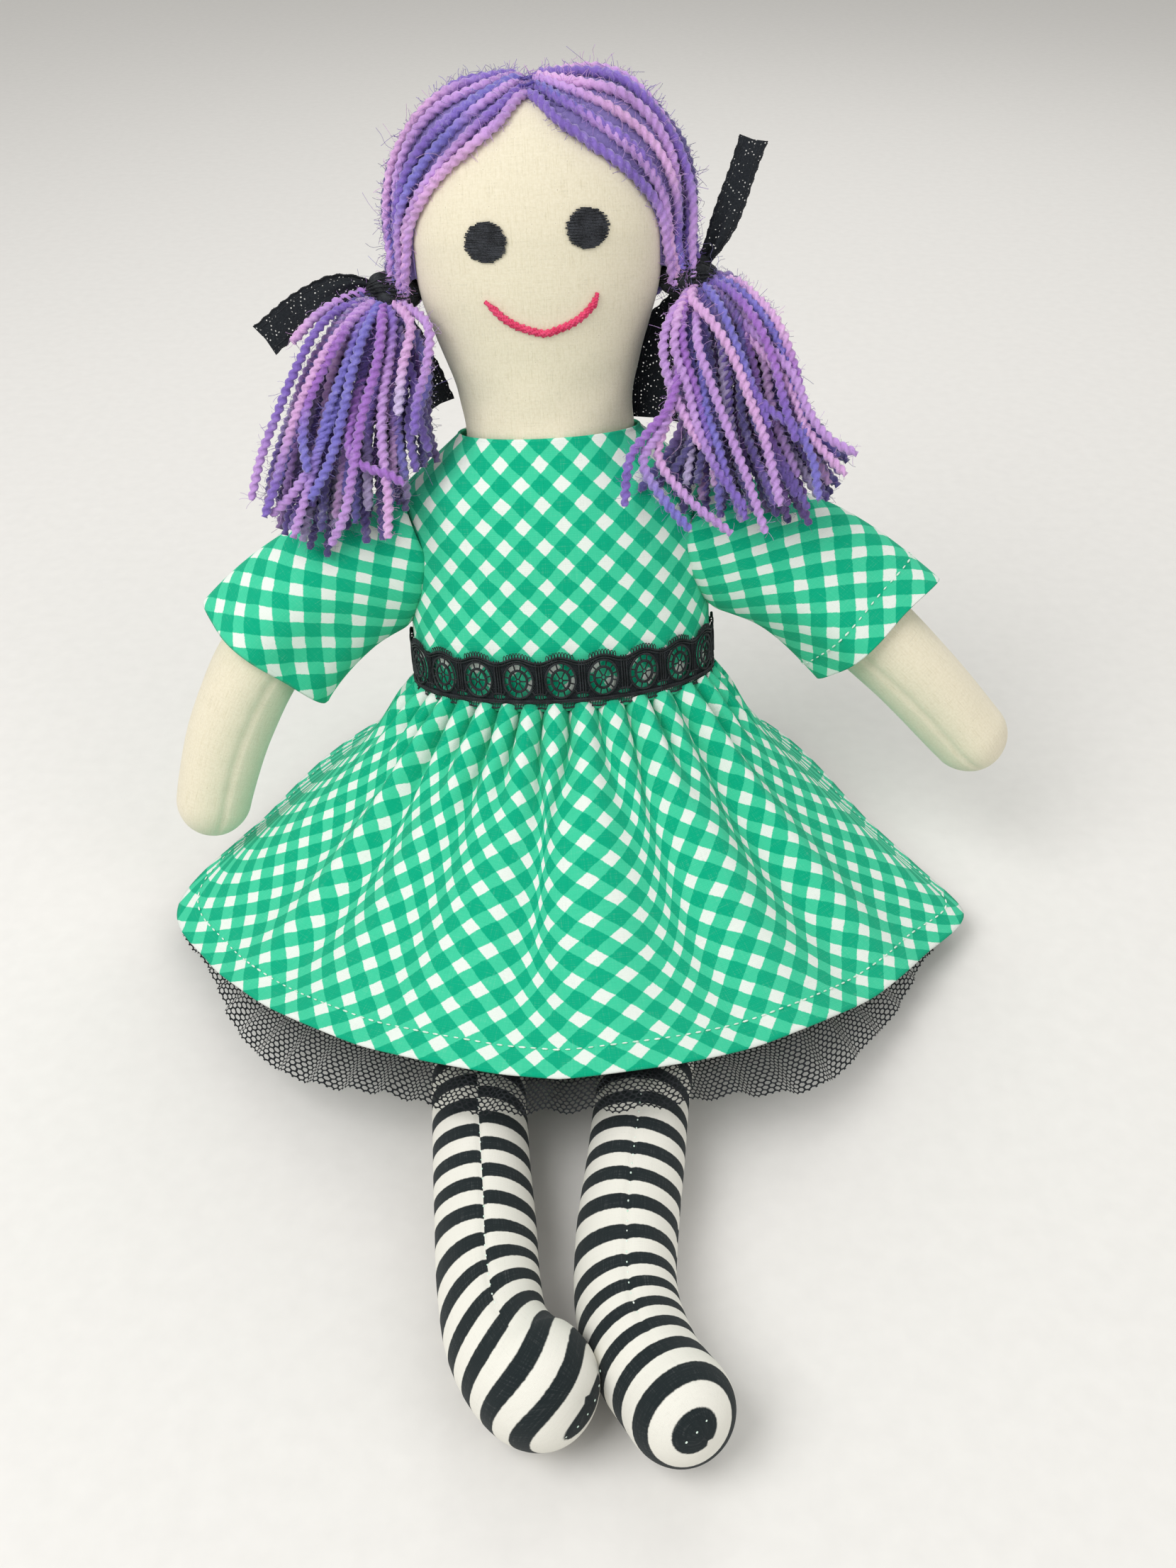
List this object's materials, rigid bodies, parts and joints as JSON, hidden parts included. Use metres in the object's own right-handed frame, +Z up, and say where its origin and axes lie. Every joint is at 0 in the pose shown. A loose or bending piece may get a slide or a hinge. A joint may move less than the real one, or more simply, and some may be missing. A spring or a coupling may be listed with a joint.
{
  "type": "rag doll",
  "caption": "Seated cloth rag doll with yarn pigtails, lace ribbons and sash, checked dress over a net petticoat, and striped legs.",
  "frame": {"origin": "on the floor, in the middle of the flat that the seat rests on", "axes": "+Z up, -Y the way the doll faces, +X the doll's own left"},
  "size_m": [0.3646, 0.4438, 0.3301],
  "materials": {
    "calico": "matt unbleached plain weave",
    "black_thread": "satin stitch",
    "pink_thread": "stem stitch",
    "yarn": "fuzzy variegated two-ply",
    "purple_thread": "matt thread",
    "ribbon_lace": "openwork lace",
    "sash_lace": "openwork lace with picots",
    "gingham": "green and white checked cotton",
    "net": "sheer hexagonal net",
    "striped_cotton": "black and white striped cotton",
    "press_stud_steel": "satin plated"
  },
  "bodies": {
    "upper_body": {"torso": "calico", "head": "calico", "eye_left": "black_thread", "eye_right": "black_thread", "mouth": "pink_thread", "hair_cap_left": "yarn", "hair_cap_right": "yarn", "parting_stitch": "purple_thread", "ribbon_knot_left": "ribbon_lace", "ribbon_knot_right": "ribbon_lace", "ribbon_tail_up_left": "ribbon_lace", "ribbon_tail_down_left": "ribbon_lace", "ribbon_tail_down_right": "ribbon_lace", "bodice": "gingham", "back_placket": "gingham", "press_stud_lower": "press_stud_steel", "press_stud_upper": "press_stud_steel", "lace_sash": "sash_lace", "skirt": "gingham", "petticoat": "net"},
    "arm_left": {"arm_left": "calico", "sleeve_left": "gingham"},
    "arm_right": {"arm_right": "calico", "sleeve_right": "gingham"},
    "leg_left": {"leg_left": "striped_cotton"},
    "leg_right": {"leg_right": "striped_cotton"},
    "pigtail_left": {"pigtail_left": "yarn"},
    "pigtail_right": {"pigtail_right": "yarn", "ribbon_tail_out_right": "ribbon_lace"}
  },
  "joints": [
    {"name": "shoulder_left", "type": "hinge", "parent": "upper_body", "child": "arm_left", "pos_m": [0.06276, 0.04258, 0.1589], "axis": [-0.9986, -0.0135, -0.0506], "range_deg": [-25, 75], "deforming": ["sleeve_left"]},
    {"name": "shoulder_right", "type": "hinge", "parent": "upper_body", "child": "arm_right", "pos_m": [-0.07961, 0.04065, 0.1517], "axis": [-0.9986, -0.0135, -0.0506], "range_deg": [-25, 75], "deforming": ["sleeve_right"]},
    {"name": "hip_left", "type": "hinge", "parent": "upper_body", "child": "leg_left", "pos_m": [0.037, -0.04, 0.017], "axis": [1, 0, 0], "range_deg": [0, 90]},
    {"name": "hip_right", "type": "hinge", "parent": "upper_body", "child": "leg_right", "pos_m": [-0.037, -0.04, 0.017], "axis": [1, 0, 0], "range_deg": [0, 90]},
    {"name": "pigtail_left_swing", "type": "hinge", "parent": "upper_body", "child": "pigtail_left", "pos_m": [0.04169, 0.06667, 0.25653], "axis": [0, -0.9659, 0.2588], "range_deg": [0, 40]},
    {"name": "pigtail_right_swing", "type": "hinge", "parent": "upper_body", "child": "pigtail_right", "pos_m": [-0.06917, 0.06516, 0.25092], "axis": [0, 0.9659, -0.2588], "range_deg": [0, 40]}
  ]
}
